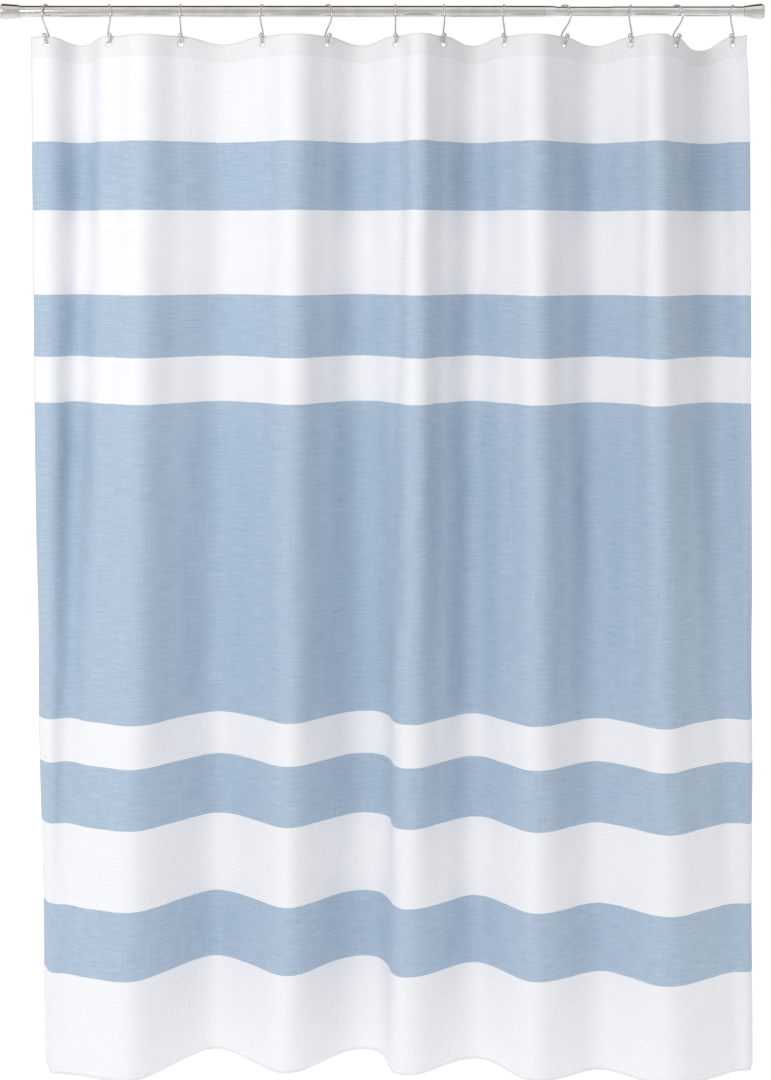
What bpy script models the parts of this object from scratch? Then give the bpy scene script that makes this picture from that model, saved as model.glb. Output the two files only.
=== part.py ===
"""Shower curtain on a telescopic tension rod.

A woven striped cloth hangs from twelve wire hooks on a rod that is clamped between two walls.
Frame: metres, +Z up. The origin is the centre of the left wall face of the rod. The rod's axis
is +X, the front of the curtain faces -Y, and the cloth hangs down along -Z.
"""
import math

import bmesh
import bpy
import numpy as np
from mathutils import Vector

# ---------------------------------------------------------------- driving dimensions, metres
FIT_GAP = 0.0003              # clearance between pieces that touch
TURN_SEGMENTS = 32            # facets around a turned piece
EYELET_SEGMENTS = 12          # facets around an eyelet

# Rod
ROD_LENGTH = 1.331            # wall face to wall face, as it hangs
FOOT_THICKNESS = 0.003
FOOT_RADIUS = 0.0122
CAP_LENGTH = 0.032
CAP_WALL_RADIUS = 0.0141      # at the wall, where the cap flares out
CAP_FLOOR = 0.006             # solid end of the cap, behind its socket
CAP_LIP = 0.0012              # wall of the cap at its mouth
OUTER_RADIUS = 0.01025
OUTER_END = 0.949             # where the outer tube stops, along the rod
TUBE_WALL = 0.0008
INNER_RADIUS = 0.0087
INNER_START = 0.551           # hidden end of the inner tube, inside the outer one
COLLAR_LENGTH = 0.019
COLLAR_LIP = 0.0007           # wall of the collar at its thin end
SLEEVE_WALL = 0.0003
SLEEVE_START = 1.066
SLEEVE_GAP = 0.0002

# Lock inside the rod
PLUG_LENGTH = 0.024
PLUG_SPIGOT = 0.012           # how far the plug reaches into the inner tube
SPINDLE_RADIUS = 0.003
SPINDLE_LENGTH = 0.085
NUT_LENGTH = 0.014
NUT_OFFSET = 0.062            # from the start of the inner tube to the nut
SPRING_WIRE = 0.0006          # radius
SPRING_RADIUS = 0.0052        # of the coil's centre line
SPRING_TURNS = 7

# Hooks
HOOK_FIRST = 0.081            # first hook, from the left wall face
HOOK_GAPS = (0.108, 0.126, 0.142, 0.113, 0.119, 0.084, 0.106, 0.104, 0.117, 0.078, 0.099)
HOOK_YAW_DEG = (-18, 18, 0, -10, 30, 0, 5, -12, 38, -18, 36, -22)
WIRE_RADIUS = 0.0015
LOOP_RADIUS = 0.016           # inside of the top loop, which goes over the rod
LOOP_BACK_DEG = 4             # where the loop's free tip ends, hidden behind the rod
LOOP_FRONT_DEG = 200          # where the loop becomes the stem
EYE_RADIUS = 0.0085           # lower bend, centre line of the wire
HOOK_DROP = 0.0655            # inside top of the loop to the lowest run of wire
BALL_RADIUS = 0.0045
BALL_RISE = 0.013             # ball centre above the lowest run of wire
BALL_BORE_DEPTH = 0.0050

# Cloth
CLOTH_WIDTH = 1.829           # flat, a 72 in curtain
CLOTH_HEIGHT = 1.829
CLOTH_THICKNESS = 0.0012
EDGE_MARGIN = 0.038           # flat distance from a side edge to the first eyelet
HEADER_HEIGHT = 0.037
HEADER_THICKNESS = 0.0008
EYELET_DROP = 0.014           # eyelet centre below the top edge
EYELET_RADIUS = 0.0050        # open hole inside the stitching
STITCH_WALL = 0.0007
STITCH_PROUD = 0.0003         # how far the stitching stands off each face
EYELET_SLACK = 0.0016         # between the wire's top and the eyelet's upper edge
HEADING_DEG = 42              # turn of the cloth in plan where it passes a hook
SKEW_DEG = 22                 # largest angle between a hook and the cloth's face normal
FOLD_DEPTH_SHARE = 0.465      # depth of a half wave of cloth / sqrt(length^2 - span^2)
DROOP = 0.012                 # how far the header sinks between two hooks, in the back folds
DROOP_FADE = 0.060            # height over which that sinking fades
EDGE_TOP_LEFT = (-0.030, 0.022)    # side edges at the header, from the first and last hook
EDGE_TOP_RIGHT = (0.018, -0.030)
EDGE_TURN_DEG = (-52, -66)         # plan heading of the cloth at those two edges

# Fold turns along the bottom hem, left to right: place along the rod, depth behind the rod,
# and how far the cloth runs on before it turns.
HEM_EDGE_LEFT = (0.061, 0.032)
HEM_TURNS = (
    (0.091, -0.031, 0.065), (0.213, -0.073, 0.143), (0.360, 0.092, 0.130), (0.494, -0.031, 0.124),
    (0.634, 0.087, 0.182), (0.706, -0.041, 0.143), (0.831, 0.042, 0.124), (0.939, -0.069, 0.124),
    (1.053, -0.011, 0.104), (1.171, -0.092, 0.130), (1.307, -0.016, 0.078),
)
WALL_CLEARANCE = 0.003        # the cloth stops this far short of the wall
HEM_EDGE_RIGHT = (ROD_LENGTH - WALL_CLEARANCE, 0.017)
FOLD_BLEND = 1.25             # how soon the folds take on the hem's places on the way down
EDGE_BLEND_LEFT = 2.0         # the same at the left side edge, which hangs straight at first
EDGE_BLEND_RIGHT = 0.5        # and at the right side edge, which spreads at once
CLOTH_ROWS = 6                # below the header

HOOK_COUNT = len(HOOK_GAPS) + 1
HOOK_X = [HOOK_FIRST + sum(HOOK_GAPS[:i]) for i in range(HOOK_COUNT)]
BAY = (CLOTH_WIDTH - 2 * EDGE_MARGIN) / (HOOK_COUNT - 1)      # flat cloth between two eyelets
SLEEVE_RADIUS = INNER_RADIUS + SLEEVE_GAP + SLEEVE_WALL
LAYER_STEP = (CLOTH_THICKNESS + HEADER_THICKNESS) / 2 + FIT_GAP
HEADER_STACK = CLOTH_THICKNESS + FIT_GAP + HEADER_THICKNESS
WIRE_SEAT = EYELET_RADIUS - WIRE_RADIUS - EYELET_SLACK       # wire centre above the eyelet's


# ---------------------------------------------------------------- scene and materials
def clear_scene():
    """Start from an empty scene."""
    for item in list(bpy.data.objects):
        bpy.data.objects.remove(item, do_unlink=True)


def material(name, colour, roughness, metallic):
    """One plain Principled material."""
    result = bpy.data.materials.new(name)
    result.use_nodes = True
    shader = result.node_tree.nodes["Principled BSDF"]
    shader.inputs["Base Color"].default_value = (*colour, 1.0)
    shader.inputs["Roughness"].default_value = roughness
    shader.inputs["Metallic"].default_value = metallic
    return result


def place(name, data, look, location=(0, 0, 0)):
    """Link one named object to the scene."""
    result = bpy.data.objects.new(name, data)
    bpy.context.scene.collection.objects.link(result)
    result.data.materials.append(look)
    result.location = location
    return result


def finish_mesh(name, body, sharp_deg=35):
    """Turn a bmesh into a smooth-shaded mesh."""
    bmesh.ops.recalc_face_normals(body, faces=body.faces)
    mesh = bpy.data.meshes.new(name)
    body.to_mesh(mesh)
    body.free()
    mesh.shade_smooth()
    mesh.set_sharp_from_angle(angle=math.radians(sharp_deg))
    return mesh


def cutter(name, mesh, location=(0, 0, 0)):
    """An object that only cuts others."""
    result = bpy.data.objects.new(name, mesh)
    bpy.context.scene.collection.objects.link(result)
    result.location = location
    result.hide_render = True
    result.display_type = "WIRE"
    return result


def cut(target, tool):
    """Cut one object's shape out of another."""
    modifier = target.modifiers.new("Cut", "BOOLEAN")
    modifier.operation = "DIFFERENCE"
    modifier.solver = "EXACT"
    modifier.object = tool


# ---------------------------------------------------------------- rod
def turned(name, outline, look, x=0.0):
    """A piece turned about the rod's axis. The outline is a closed run of (along, radius)."""
    body = bmesh.new()
    corners = [body.verts.new((along, 0, radius)) for along, radius in outline]
    solid = outline[0][1] == 0 and outline[-1][1] == 0
    pairs = list(zip(corners, corners[1:]))
    if not solid:
        pairs.append((corners[-1], corners[0]))
    edges = [body.edges.new(pair) for pair in pairs]
    bmesh.ops.spin(body, geom=corners + edges, cent=(0, 0, 0), axis=(1, 0, 0), angle=math.tau,
                   steps=TURN_SEGMENTS, use_merge=True)
    bmesh.ops.remove_doubles(body, verts=body.verts, dist=1e-7)
    return place(name, finish_mesh(name, body), look, (x, 0, 0))


def tube(name, start, end, radius, wall, look):
    """A plain round tube along the rod's axis."""
    length = end - start
    outline = [(0, radius - wall), (0, radius), (length, radius), (length, radius - wall)]
    return turned(name, outline, look, start)


def end_cap(name, wall_x, inward, tube_radius, look):
    """Flared cap: a thick floor at the wall, and a socket that the tube stands in."""
    socket = tube_radius + FIT_GAP
    mouth = socket + CAP_LIP
    outline = [(0, 0), (0, CAP_WALL_RADIUS - 0.001), (0.001, CAP_WALL_RADIUS),
               (CAP_LENGTH * 0.3, CAP_WALL_RADIUS - 0.0004), (CAP_LENGTH - 0.001, mouth),
               (CAP_LENGTH, mouth - 0.0006), (CAP_LENGTH, socket), (CAP_FLOOR, socket),
               (CAP_FLOOR, 0)]
    outline = [(inward * along, radius) for along, radius in outline]
    return turned(name, outline, look, wall_x)


def rubber_foot(name, wall_x, inward, look):
    """Rubber pad between the cap and the wall."""
    bevel = 0.0006
    outline = [(0, 0), (0, FOOT_RADIUS - bevel), (bevel, FOOT_RADIUS),
               (FOOT_THICKNESS, FOOT_RADIUS), (FOOT_THICKNESS, 0)]
    outline = [(inward * along, radius) for along, radius in outline]
    return turned(name, outline, look, wall_x)


def spring(name, start, end, look):
    """Helical compression spring around the spindle, between the plug and the nut."""
    steps = SPRING_TURNS * 10
    points = []
    for step in range(steps + 1):
        share = step / steps
        angle = math.tau * SPRING_TURNS * share
        along = start + SPRING_WIRE + (end - start - 2 * SPRING_WIRE) * share
        points.append((along, SPRING_RADIUS * math.cos(angle), SPRING_RADIUS * math.sin(angle)))
    return wire(name, points, SPRING_WIRE, 0, look)


def wire(name, points, radius, rounding, look):
    """Round wire along a run of points."""
    curve = bpy.data.curves.new(name, "CURVE")
    curve.dimensions = "3D"
    curve.bevel_depth = radius
    curve.bevel_resolution = rounding
    curve.use_fill_caps = True
    spline = curve.splines.new("POLY")
    spline.points.add(len(points) - 1)
    for target, point in zip(spline.points, points):
        target.co = (*point, 1.0)
    return place(name, curve, look)


def build_rod(metal, plastic, rubber, steel):
    """Telescopic rod: outer tube, inner tube, their ends, and the lock between them."""
    tube_floor = FOOT_THICKNESS + FIT_GAP + CAP_FLOOR + FIT_GAP      # wall face to a tube's end
    cap_start = FOOT_THICKNESS + FIT_GAP
    right_end = ROD_LENGTH - tube_floor

    rubber_foot("rubber_foot_left", 0, 1, rubber)
    end_cap("end_cap_left", cap_start, 1, OUTER_RADIUS, metal)
    tube("outer_tube", tube_floor, OUTER_END, OUTER_RADIUS, TUBE_WALL, metal)

    bore = INNER_RADIUS + FIT_GAP
    collar = [(0, bore), (0, OUTER_RADIUS), (COLLAR_LENGTH * 0.3, OUTER_RADIUS - 0.0002),
              (COLLAR_LENGTH, bore + COLLAR_LIP), (COLLAR_LENGTH, bore)]
    turned("tube_collar", collar, metal, OUTER_END + FIT_GAP)

    tube("inner_tube", INNER_START, right_end, INNER_RADIUS, TUBE_WALL, metal)
    cap_mouth = ROD_LENGTH - cap_start - CAP_LENGTH
    tube("inner_sleeve", SLEEVE_START, cap_mouth - FIT_GAP, SLEEVE_RADIUS, SLEEVE_WALL, metal)
    end_cap("end_cap_right", ROD_LENGTH - cap_start, -1, INNER_RADIUS, metal)
    rubber_foot("rubber_foot_right", ROD_LENGTH, -1, rubber)

    inner_bore = INNER_RADIUS - TUBE_WALL
    plug_radius = OUTER_RADIUS - TUBE_WALL - FIT_GAP
    spigot = inner_bore - FIT_GAP
    head = PLUG_LENGTH - PLUG_SPIGOT
    plug = [(0, 0), (0, plug_radius - 0.001), (0.001, plug_radius), (head, plug_radius),
            (head, spigot), (PLUG_LENGTH, spigot), (PLUG_LENGTH, 0)]
    plug_x = INNER_START - FIT_GAP - head
    turned("lock_plug", plug, plastic, plug_x)

    spindle_x = plug_x + PLUG_LENGTH + FIT_GAP
    spindle = [(0, 0), (0, SPINDLE_RADIUS), (SPINDLE_LENGTH, SPINDLE_RADIUS), (SPINDLE_LENGTH, 0)]
    turned("lock_spindle", spindle, steel, spindle_x)

    nut_x = INNER_START + NUT_OFFSET
    nut_bore = SPINDLE_RADIUS + FIT_GAP
    nut = [(0, nut_bore), (0, spigot), (NUT_LENGTH, spigot), (NUT_LENGTH, nut_bore)]
    turned("spindle_nut", nut, plastic, nut_x)
    spring("tension_spring", spindle_x, nut_x - FIT_GAP, steel)


# ---------------------------------------------------------------- cloth in plan
def hermite(start, start_pull, end, end_pull, shares):
    """Smooth run between two plan points that leaves and arrives along the given pulls."""
    u = np.asarray(shares)[:, None]
    start, start_pull, end, end_pull = (np.asarray(v, float) for v in (start, start_pull, end, end_pull))
    return (start * (2 * u**3 - 3 * u**2 + 1) + start_pull * (u**3 - 2 * u**2 + u)
            + end * (3 * u**2 - 2 * u**3) + end_pull * (u**3 - u**2))


def heading(turn_deg, pull):
    """A pull of the given size along a plan heading, measured from +X towards +Y."""
    turn = math.radians(turn_deg)
    return (pull * math.cos(turn), pull * math.sin(turn))


def side_of(hook):
    """+1 where the cloth runs to the back as it passes the hook, -1 where it comes forward."""
    return 1 if hook % 2 == 0 else -1


def hook_heading(hook):
    """Plan heading of the cloth at a hook, kept within the skew that the eyelet allows."""
    side = side_of(hook)
    return side * min(HEADING_DEG, SKEW_DEG + side * HOOK_YAW_DEG[hook])


HALF_BAY_SHARES = (0.0, 0.12, 0.40, 0.70)            # columns of the mesh in half a bay
EDGE_SHARES = (0.0, 0.5, 0.80)


def header_line():
    """Plan of the cloth at the hooks: half waves between them, back and front in turn."""
    pull = BAY / 2
    first = np.add((HOOK_X[0], 0), EDGE_TOP_LEFT)
    parts = [hermite(first, heading(EDGE_TURN_DEG[0], EDGE_MARGIN), (HOOK_X[0], 0),
                     heading(hook_heading(0), EDGE_MARGIN), EDGE_SHARES)]
    for bay, span in enumerate(HOOK_GAPS):
        depth = side_of(bay) * FOLD_DEPTH_SHARE * math.sqrt(max(BAY**2 - span**2, (BAY / 8) ** 2))
        left = (HOOK_X[bay], 0)
        crest = (HOOK_X[bay] + span / 2, depth)
        right = (HOOK_X[bay + 1], 0)
        parts.append(hermite(left, heading(hook_heading(bay), pull), crest, (pull, 0), HALF_BAY_SHARES))
        mirrored = [0.0] + [1 - share for share in reversed(HALF_BAY_SHARES[1:])]
        parts.append(hermite(crest, (pull, 0), right, heading(hook_heading(bay + 1), pull), mirrored))
    last = np.add((HOOK_X[-1], 0), EDGE_TOP_RIGHT)
    shares = [1 - share for share in reversed(EDGE_SHARES[1:])]
    parts.append(hermite((HOOK_X[-1], 0), heading(hook_heading(HOOK_COUNT - 1), EDGE_MARGIN), last,
                         heading(EDGE_TURN_DEG[1], EDGE_MARGIN), [0.0] + shares + [1.0]))
    return np.vstack(parts)


def hem_line():
    """Plan of the cloth at the bottom hem, with the same columns as the header's line."""
    turns = [((x, y), (pull, 0)) for x, y, pull in HEM_TURNS]
    half = len(HALF_BAY_SHARES)
    count = len(EDGE_SHARES) + half
    first_pull = np.subtract(HEM_TURNS[0][:2], HEM_EDGE_LEFT)
    parts = [hermite(HEM_EDGE_LEFT, first_pull, turns[0][0], turns[0][1],
                     np.arange(count) / count)]
    for (start, start_pull), (end, end_pull) in zip(turns, turns[1:]):
        parts.append(hermite(start, start_pull, end, end_pull, np.arange(2 * half) / (2 * half)))
    last_pull = np.subtract(HEM_EDGE_RIGHT, HEM_TURNS[-1][:2])
    count = half + len(EDGE_SHARES)
    parts.append(hermite(turns[-1][0], turns[-1][1], HEM_EDGE_RIGHT, last_pull,
                         np.arange(count + 1) / count))
    return np.vstack(parts)


def eyelet_columns():
    """Index of the column of the mesh that passes through each eyelet."""
    half = len(HALF_BAY_SHARES)
    return [len(EDGE_SHARES) + 2 * half * hook for hook in range(HOOK_COUNT)]


def seat_height(hook):
    """Height of the inside top of a hook's loop above the rod's axis, where it rests on the rod.

    A yawed loop touches the rod beside its top, so the height is the largest that any point of
    the loop's arc needs.
    """
    resting_on = OUTER_RADIUS if HOOK_X[hook] < OUTER_END else SLEEVE_RADIUS
    reach = resting_on + FIT_GAP + WIRE_RADIUS
    arc = LOOP_RADIUS + WIRE_RADIUS
    across = np.linspace(0, arc * 0.7, 60)
    sideways = across * math.cos(math.radians(HOOK_YAW_DEG[hook]))
    rod_top = np.sqrt(np.maximum(reach**2 - sideways**2, 0))
    arc_drop = arc - np.sqrt(arc**2 - across**2)
    return float(np.max(rod_top + arc_drop)) - WIRE_RADIUS


def top_edge_heights():
    """Height of the cloth's top edge in each column: it hangs level with its eyelets."""
    at_hooks = [seat_height(hook) - HOOK_DROP - WIRE_SEAT + EYELET_DROP for hook in range(HOOK_COUNT)]
    return np.interp(np.arange(len(header_line())), eyelet_columns(), at_hooks)


def droop_shares():
    """How far each column takes part in the header's droop: the middles of the back folds."""
    columns = eyelet_columns()
    shares = np.zeros(len(header_line()))
    for bay in range(0, HOOK_COUNT - 1, 2):
        inside = np.arange(columns[bay], columns[bay + 1] + 1)
        across = (inside - columns[bay]) / (columns[bay + 1] - columns[bay])
        shares[inside] = np.sin(math.pi * across) ** 2
    return shares


def blend_powers(header):
    """Power of the blend in each column: that of the folds, and its own at each side edge."""
    left_span = HOOK_X[1] - header[0, 0]
    right_span = header[-1, 0] - HOOK_X[-2]
    left = np.clip((HOOK_X[1] - header[:, 0]) / left_span, 0, 1)
    right = np.clip((header[:, 0] - HOOK_X[-2]) / right_span, 0, 1)
    return (FOLD_BLEND + (EDGE_BLEND_LEFT - FOLD_BLEND) * left
            + (EDGE_BLEND_RIGHT - FOLD_BLEND) * right)


def cloth_grid(drops, offset=0.0):
    """Points of the cloth as rows of columns, for the given flat distances below the top edge.

    The plan line goes over from the header's to the hem's on the way down. A second layer is
    moved by its offset along the line's own normal, towards the back.
    """
    header, hem = header_line(), hem_line()
    heights, droop = top_edge_heights(), droop_shares()
    powers = blend_powers(header)[:, None]
    rows = []
    for drop in drops:
        blend = (max(drop - HEADER_HEIGHT, 0) / (CLOTH_HEIGHT - HEADER_HEIGHT)) ** powers
        line = header * (1 - blend) + hem * blend
        along = np.gradient(line, axis=0)
        along /= np.linalg.norm(along, axis=1)[:, None]
        normal = np.column_stack((-along[:, 1], along[:, 0]))
        line = line + normal * offset
        sink = DROOP * droop * math.exp(-drop / DROOP_FADE)
        rows.append(np.column_stack((line, heights - drop - sink)))
    return np.array(rows)


# ---------------------------------------------------------------- cloth as solids
def sheet(name, grid, thickness, look):
    """A closed sheet of cloth over a grid of points."""
    rows, columns = grid.shape[:2]
    body = bmesh.new()
    verts = [[body.verts.new(point) for point in row] for row in grid]
    for row in range(rows - 1):
        for column in range(columns - 1):
            body.faces.new((verts[row + 1][column], verts[row + 1][column + 1],
                            verts[row][column + 1], verts[row][column]))
    mesh = bpy.data.meshes.new(name)
    body.to_mesh(mesh)
    body.free()
    mesh.shade_smooth()
    result = place(name, mesh, look)
    solidify = result.modifiers.new("Thickness", "SOLIDIFY")
    solidify.thickness = thickness
    solidify.offset = 0
    return result


def eyelet_frame(hook):
    """Centre of an eyelet and the front-facing normal of the two layers of cloth there."""
    column = eyelet_columns()[hook]
    row = cloth_grid([EYELET_DROP], LAYER_STEP / 2)[0]
    along = Vector(row[column + 1] - row[column - 1])
    along.z = 0
    along.normalize()
    return Vector(row[column]), Vector((along.y, -along.x, 0))


def ring_body(radius_out, radius_in, length):
    """A short thick-walled ring about Z, centred on the origin."""
    body = bmesh.new()
    outline = [(radius_in, -length / 2), (radius_out, -length / 2),
               (radius_out, length / 2), (radius_in, length / 2)]
    corners = [body.verts.new((radius, 0, z)) for radius, z in outline]
    edges = [body.edges.new(pair) for pair in zip(corners, corners[1:] + corners[:1])]
    bmesh.ops.spin(body, geom=corners + edges, cent=(0, 0, 0), axis=(0, 0, 1), angle=math.tau,
                   steps=EYELET_SEGMENTS, use_merge=True)
    bmesh.ops.remove_doubles(body, verts=body.verts, dist=1e-7)
    return body


def build_cloth(weave, thread):
    """Curtain panel, the folded-over header behind it, and the stitching of the eyelets."""
    below = HEADER_HEIGHT + (CLOTH_HEIGHT - HEADER_HEIGHT) * np.arange(1, CLOTH_ROWS + 1) / CLOTH_ROWS
    header_rows = [0.0, 2 * EYELET_DROP, HEADER_HEIGHT]
    panel = sheet("curtain_panel", cloth_grid(header_rows + list(below)), CLOTH_THICKNESS, weave)
    band = sheet("header_band", cloth_grid(header_rows, LAYER_STEP), HEADER_THICKNESS, weave)

    hole_radius = EYELET_RADIUS + STITCH_WALL + FIT_GAP
    holes = bmesh.new()
    for hook in range(HOOK_COUNT):
        centre, facing = eyelet_frame(hook)
        turn = facing.to_track_quat("Z", "Y").to_matrix().to_4x4()
        turn.translation = centre
        bmesh.ops.create_cone(holes, cap_ends=True, segments=EYELET_SEGMENTS, radius1=hole_radius,
                              radius2=hole_radius, depth=4 * HEADER_STACK, matrix=turn)
    tool = cutter("eyelet_cutters", finish_mesh("eyelet_cutters", holes))
    cut(panel, tool)
    cut(band, tool)

    ring = finish_mesh("eyelet_stitching", ring_body(EYELET_RADIUS + STITCH_WALL, EYELET_RADIUS,
                                                     HEADER_STACK + 2 * STITCH_PROUD))
    ring.materials.append(thread)
    for hook in range(HOOK_COUNT):
        centre, facing = eyelet_frame(hook)
        name = f"eyelet_stitching_{hook + 1:02d}"
        stitching = bpy.data.objects.new(name, ring)
        bpy.context.scene.collection.objects.link(stitching)
        stitching.location = centre
        stitching.rotation_mode = "QUATERNION"
        stitching.rotation_quaternion = facing.to_track_quat("Z", "Y")


# ---------------------------------------------------------------- hooks
def arc_points(centre, radius, start_deg, end_deg, steps):
    """Points (depth, height) along an arc."""
    angles = np.radians(np.linspace(start_deg, end_deg, steps + 1))
    return [(centre[0] + radius * math.cos(a), centre[1] + radius * math.sin(a)) for a in angles]


def bezier_points(start, start_hand, end_hand, end, steps):
    """Inner points of a cubic curve, without its two ends."""
    points = []
    for step in range(1, steps):
        u = step / steps
        weights = ((1 - u) ** 3, 3 * u * (1 - u) ** 2, 3 * u * u * (1 - u), u**3)
        corners = (start, start_hand, end_hand, end)
        points.append(tuple(sum(w * c[axis] for w, c in zip(weights, corners)) for axis in (0, 1)))
    return points


def hook_route():
    """Wire of a hook as (depth, height), from its free tip behind the rod to its ball.

    The heights are measured from the inside top of the loop. The loop goes over the rod, the
    stem runs down and to the back of the cloth, and the lower bend comes forward through the
    eyelet and up into the ball.
    """
    arc = LOOP_RADIUS + WIRE_RADIUS
    loop = arc_points((0, -LOOP_RADIUS), arc, LOOP_BACK_DEG, LOOP_FRONT_DEG, 11)
    eye_height = EYE_RADIUS - HOOK_DROP
    eye = arc_points((0, eye_height), EYE_RADIUS, 0, -180, 8)
    leaving = math.radians(LOOP_FRONT_DEG + 90)
    hand = 0.4 * (loop[-1][1] - eye_height)
    start_hand = (loop[-1][0] + hand * math.cos(leaving), loop[-1][1] + hand * math.sin(leaving))
    end_hand = (eye[0][0], eye[0][1] + hand)
    stem = bezier_points(loop[-1], start_hand, end_hand, eye[0], 5)
    tip = (-EYE_RADIUS, BALL_RISE - HOOK_DROP)
    return loop + stem + eye + [tip]


def ball_mesh(name):
    """Ball with a blind bore from below, which the end of the wire stands in."""
    body = bmesh.new()
    bmesh.ops.create_uvsphere(body, u_segments=10, v_segments=7, radius=BALL_RADIUS)
    return finish_mesh(name, body, 80)


def build_hooks(metal):
    """Twelve identical hooks, each yawed its own way and resting on the rod."""
    route = [(0, depth, height) for depth, height in hook_route()]
    bore = bmesh.new()
    bmesh.ops.create_cone(bore, cap_ends=True, segments=10, radius1=WIRE_RADIUS + FIT_GAP,
                          radius2=WIRE_RADIUS + FIT_GAP, depth=2 * BALL_BORE_DEPTH)
    bore_mesh = finish_mesh("ball_bore", bore)
    for hook in range(HOOK_COUNT):
        number = f"{hook + 1:02d}"
        yaw = math.radians(HOOK_YAW_DEG[hook])
        seat = (HOOK_X[hook], 0, seat_height(hook))
        body = wire(f"hook_wire_{number}", route, WIRE_RADIUS, 1, metal)
        body.location = seat
        body.rotation_euler.z = yaw

        ball_place = Vector((EYE_RADIUS * math.sin(yaw), -EYE_RADIUS * math.cos(yaw),
                             BALL_RISE - HOOK_DROP)) + Vector(seat)
        ball = place(f"hook_ball_{number}", ball_mesh(f"hook_ball_{number}"), metal, ball_place)
        bore_top = Vector((0, 0, FIT_GAP - BALL_BORE_DEPTH))
        cut(ball, cutter(f"ball_bore_{number}", bore_mesh, ball_place + bore_top))


def build():
    """Assemble the whole object."""
    clear_scene()
    metal = material("bright_nickel", (0.78, 0.76, 0.74), 0.14, 1.0)
    steel = material("spring_steel", (0.55, 0.55, 0.56), 0.35, 1.0)
    plastic = material("lock_plastic", (0.12, 0.12, 0.13), 0.5, 0.0)
    rubber = material("foot_rubber", (0.75, 0.75, 0.73), 0.8, 0.0)
    weave = material("striped_weave", (0.62, 0.71, 0.80), 0.9, 0.0)
    thread = material("white_thread", (0.92, 0.92, 0.92), 0.85, 0.0)
    build_rod(metal, plastic, rubber, steel)
    build_cloth(weave, thread)
    build_hooks(metal)


build()
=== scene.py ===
import math

import bmesh
import bpy
import numpy as np
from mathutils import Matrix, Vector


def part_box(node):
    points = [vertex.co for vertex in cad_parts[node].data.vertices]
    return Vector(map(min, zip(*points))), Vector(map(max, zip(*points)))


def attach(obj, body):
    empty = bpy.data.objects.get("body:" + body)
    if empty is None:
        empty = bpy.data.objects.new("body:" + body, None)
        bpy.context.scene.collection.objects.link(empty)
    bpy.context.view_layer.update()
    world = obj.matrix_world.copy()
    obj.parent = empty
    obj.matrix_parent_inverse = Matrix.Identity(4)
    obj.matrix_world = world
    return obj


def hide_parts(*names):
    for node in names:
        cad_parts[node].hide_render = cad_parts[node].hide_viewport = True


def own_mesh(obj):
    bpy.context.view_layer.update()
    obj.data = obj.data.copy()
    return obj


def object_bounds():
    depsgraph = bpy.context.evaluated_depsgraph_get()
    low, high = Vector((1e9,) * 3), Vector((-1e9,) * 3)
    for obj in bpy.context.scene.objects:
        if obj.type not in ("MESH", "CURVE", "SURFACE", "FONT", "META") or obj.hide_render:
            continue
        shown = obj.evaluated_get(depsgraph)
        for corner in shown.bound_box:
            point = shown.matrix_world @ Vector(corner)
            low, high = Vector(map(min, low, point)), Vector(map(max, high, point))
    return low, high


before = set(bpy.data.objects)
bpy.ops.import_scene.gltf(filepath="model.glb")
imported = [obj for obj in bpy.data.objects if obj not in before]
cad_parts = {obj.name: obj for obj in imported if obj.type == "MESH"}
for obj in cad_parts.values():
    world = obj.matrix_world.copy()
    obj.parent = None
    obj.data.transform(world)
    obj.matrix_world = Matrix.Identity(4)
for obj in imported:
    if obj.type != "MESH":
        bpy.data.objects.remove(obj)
cad_low, cad_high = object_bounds()

# ---------------------------------------------------------------- camera and studio
# The camera stands level with the upper third of the curtain, four metres in front, and looks
# slightly down. The studio is a pale matt floor that gives off light of its own, more behind the
# curtain than on the viewer's side, and a white sky that is dimmer on the viewer's side and has one
# dark panel overhead. One soft lamp stands to the left of the camera and nearer to the curtain than
# it.
CAMERA_DISTANCE = 4.0
CAMERA_HEIGHT = -0.398
CAMERA_PITCH_DEG = 3.0
CAMERA_SIDEWAYS = 0.6716
CAMERA_LENS = 76.03
CAMERA_SHIFT = -0.167
FLOOR_GAP = 0.055             # hem to floor
FLOOR_RADIUS = 60.0
FLOOR_COLOUR = (0.56, 0.56, 0.56, 1.0)
FLOOR_GLOW = 0.70             # light that the floor gives off behind the curtain
FLOOR_GLOW_FRONT = 0.40       # share of that which it gives off on the viewer's side
FLOOR_FADE = (-2.5, 0.9)      # depths between which the one goes over to the other
SKY_FRONT = 0.64              # brightness of the sky on the viewer's side, at eye level
SKY_HIGH = 1.00               # and higher up
SKY_PANEL = 0.97              # share of the sky's light that the panel overhead takes away


class Flow:
    """A number that runs between a material's nodes. Arithmetic on it adds Math nodes."""

    def __init__(self, finish, socket):
        self.finish, self.socket = finish, socket

    def _maths(self, operation, *values):
        return self.finish.node("ShaderNodeMath", {"operation": operation},
                                dict(enumerate(values)))

    def __add__(self, other):
        return self._maths("ADD", self, other)

    def __sub__(self, other):
        return self._maths("SUBTRACT", self, other)

    def __rsub__(self, other):
        return self._maths("SUBTRACT", other, self)

    def __mul__(self, other):
        return self._maths("MULTIPLY", self, other)

    __radd__, __rmul__ = __add__, __mul__

    def sine(self):
        return self._maths("SINE", self)

    def size(self):
        return self._maths("ABSOLUTE", self)

    def lesser(self, other):
        return self._maths("MINIMUM", self, other)

    def step_up(self, low, high):
        """0 below low, 1 above high, and a smooth rise between them."""
        return self.finish.node("ShaderNodeMapRange", {"interpolation_type": "SMOOTHSTEP"},
                                {"Value": self, "From Min": low, "From Max": high})


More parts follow.
